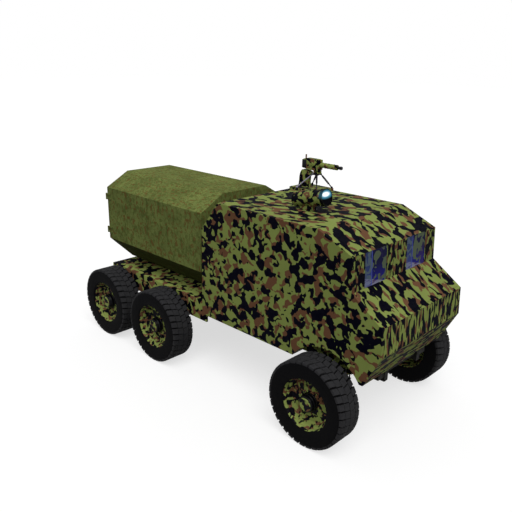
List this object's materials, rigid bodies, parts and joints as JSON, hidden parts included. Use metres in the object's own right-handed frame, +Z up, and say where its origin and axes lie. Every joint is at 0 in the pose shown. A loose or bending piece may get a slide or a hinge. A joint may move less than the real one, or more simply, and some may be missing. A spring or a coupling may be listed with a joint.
{
  "type": "military cargo truck",
  "caption": "Six-wheeled military truck with a faceted camouflage cab, steered front wheels and an eight-sided load body with rear doors.",
  "frame": {"origin": "on the ground under the middle of the overall length, on the centre plane", "axes": "+X forward, +Y to the truck's left, +Z up"},
  "size_m": [5.916, 2.73, 3.295],
  "materials": {
    "camouflage_paint": "matt, three-colour camouflage",
    "green_canvas_paint": "matt olive with brown flecks",
    "chassis_black": "satin black",
    "dark_steel": "dark phosphated",
    "tyre_rubber": "matt rubber",
    "blue_glass": "thick tinted armour glass",
    "lamp_glass": "clear lens",
    "red_lens": "moulded lens",
    "black_plastic": "grained",
    "seat_cloth": "woven cloth"
  },
  "bodies": {
    "chassis": {"frame": "chassis_black", "deck": "camouflage_paint", "powertrain": "chassis_black", "leaf_springs": "chassis_black", "front_axle": "camouflage_paint", "middle_axle": "camouflage_paint", "rear_axle": "camouflage_paint", "tail_lamps": "red_lens", "cab_floor": "camouflage_paint", "cab_roof": "camouflage_paint", "cab_rear_wall": "camouflage_paint", "cab_bonnet": "camouflage_paint", "cab_nose": "camouflage_paint", "windscreen_frame": "camouflage_paint", "windscreen_panes": "blue_glass", "cab_side_left": "camouflage_paint", "cab_side_right": "camouflage_paint", "dashboard": "black_plastic", "seats": "seat_cloth", "gun_stand": "dark_steel", "gun_chute": "camouflage_paint", "searchlight": "camouflage_paint", "searchlight_lens": "lamp_glass", "load_body": "green_canvas_paint", "load_floor": "camouflage_paint"},
    "steering_wheel": {"steering_wheel": "black_plastic"},
    "cab_door": {"cab_door": "camouflage_paint"},
    "load_door_left": {"load_door_left": "green_canvas_paint"},
    "load_door_right": {"load_door_right": "green_canvas_paint"},
    "roof_gun": {"roof_gun": "camouflage_paint"},
    "knuckle_left": {"knuckle_left": "camouflage_paint"},
    "knuckle_right": {"knuckle_right": "camouflage_paint"},
    "track_rod": {"track_rod": "dark_steel"},
    "wheel_front_left": {"rim_front_left": "camouflage_paint", "tyre_front_left": "tyre_rubber"},
    "wheel_front_right": {"rim_front_right": "camouflage_paint", "tyre_front_right": "tyre_rubber"},
    "wheel_middle_left": {"rim_middle_left": "camouflage_paint", "tyre_middle_left": "tyre_rubber"},
    "wheel_middle_right": {"rim_middle_right": "camouflage_paint", "tyre_middle_right": "tyre_rubber"},
    "wheel_rear_left": {"rim_rear_left": "camouflage_paint", "tyre_rear_left": "tyre_rubber"},
    "wheel_rear_right": {"rim_rear_right": "camouflage_paint", "tyre_rear_right": "tyre_rubber"}
  },
  "joints": [
    {"name": "steer_left", "type": "hinge", "parent": "chassis", "child": "knuckle_left", "pos_m": [2.154, 0.995, 0.722], "axis": [0, 0, 1], "range_deg": [-30, 30]},
    {"name": "steer_right", "type": "hinge", "parent": "chassis", "child": "knuckle_right", "pos_m": [2.154, -0.995, 0.722], "axis": [0, 0, 1], "range_deg": [-30, 30]},
    {"name": "track_rod_pivot", "type": "hinge", "parent": "knuckle_left", "child": "track_rod", "pos_m": [1.934, 0.995, 0.633], "axis": [0, 0, 1], "range_deg": [-30, 30]},
    {"name": "steering_wheel_turn", "type": "hinge", "parent": "chassis", "child": "steering_wheel", "pos_m": [1.98487, 0.48, 1.99298], "axis": [-0.5736, 0, 0.8192], "range_deg": [-480, 480]},
    {"name": "wheel_front_left_spin", "type": "hinge", "parent": "knuckle_left", "child": "wheel_front_left", "pos_m": [2.154, 1.1775, 0.59], "axis": [0, 1, 0], "continuous": true},
    {"name": "wheel_front_right_spin", "type": "hinge", "parent": "knuckle_right", "child": "wheel_front_right", "pos_m": [2.154, -1.1775, 0.59], "axis": [0, 1, 0], "continuous": true},
    {"name": "wheel_middle_left_spin", "type": "hinge", "parent": "chassis", "child": "wheel_middle_left", "pos_m": [-0.998, 1.1775, 0.59], "axis": [0, 1, 0], "continuous": true},
    {"name": "wheel_middle_right_spin", "type": "hinge", "parent": "chassis", "child": "wheel_middle_right", "pos_m": [-0.998, -1.1775, 0.59], "axis": [0, 1, 0], "continuous": true},
    {"name": "wheel_rear_left_spin", "type": "hinge", "parent": "chassis", "child": "wheel_rear_left", "pos_m": [-2.368, 1.1775, 0.59], "axis": [0, 1, 0], "continuous": true},
    {"name": "wheel_rear_right_spin", "type": "hinge", "parent": "chassis", "child": "wheel_rear_right", "pos_m": [-2.368, -1.1775, 0.59], "axis": [0, 1, 0], "continuous": true},
    {"name": "cab_door_hinge", "type": "hinge", "parent": "chassis", "child": "cab_door", "pos_m": [1.461, 0.989, 1.7475], "axis": [0, 0, -1], "range_deg": [0, 75]},
    {"name": "load_door_left_hinge", "type": "hinge", "parent": "chassis", "child": "load_door_left", "pos_m": [-2.813, 0.92, 2.05], "axis": [0, 0, -1], "range_deg": [0, 110]},
    {"name": "load_door_right_hinge", "type": "hinge", "parent": "chassis", "child": "load_door_right", "pos_m": [-2.813, -0.92, 2.05], "axis": [0, 0, 1], "range_deg": [0, 110]},
    {"name": "roof_gun_traverse", "type": "hinge", "parent": "chassis", "child": "roof_gun", "pos_m": [0.524, 0.752, 3.027], "axis": [0, 0, 1], "range_deg": [-30, 30]}
  ],
  "couplings": [
    {"joint": "steer_right", "follows": "steer_left", "ratio": 1},
    {"joint": "track_rod_pivot", "follows": "steer_left", "ratio": -1},
    {"joint": "steering_wheel_turn", "follows": "steer_left", "ratio": 16}
  ]
}
